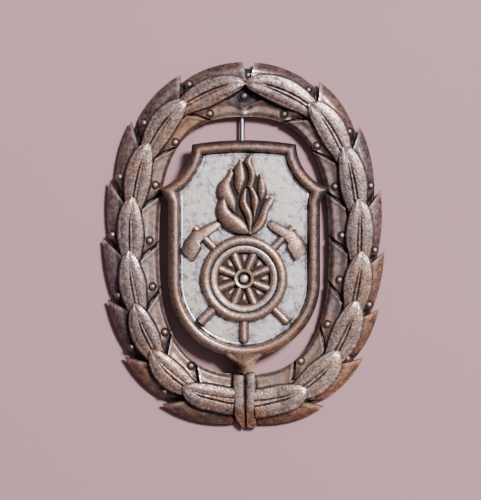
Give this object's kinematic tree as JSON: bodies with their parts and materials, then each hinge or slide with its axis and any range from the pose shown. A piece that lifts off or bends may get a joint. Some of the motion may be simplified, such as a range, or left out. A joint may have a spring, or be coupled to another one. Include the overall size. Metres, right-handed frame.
{
  "type": "firefighter badge",
  "caption": "Oval pierced firefighter badge in antiqued bronze: a laurel wreath round a shield with flame, eight-spoke wheel and crossed hammers, with a needle clasp behind.",
  "frame": {"origin": "centre of the badge's outline on the surface that it lies on", "axes": "+Z out of the badge's face, +Y towards the badge's top, +X to the right of someone looking at its face"},
  "size_m": [0.0412, 0.0539, 0.0047],
  "materials": {
    "bronze": "antiqued, rubbed bright on the high places",
    "silvered_field": "silvered, blasted matte with grey specks",
    "needle_steel": "bright"
  },
  "bodies": {
    "root": {"wreath": "bronze", "shield_frame": "bronze", "field_plate": "silvered_field", "wheel_and_hammers": "bronze", "flame": "bronze", "pin_clasp": "needle_steel"}
  },
  "joints": []
}
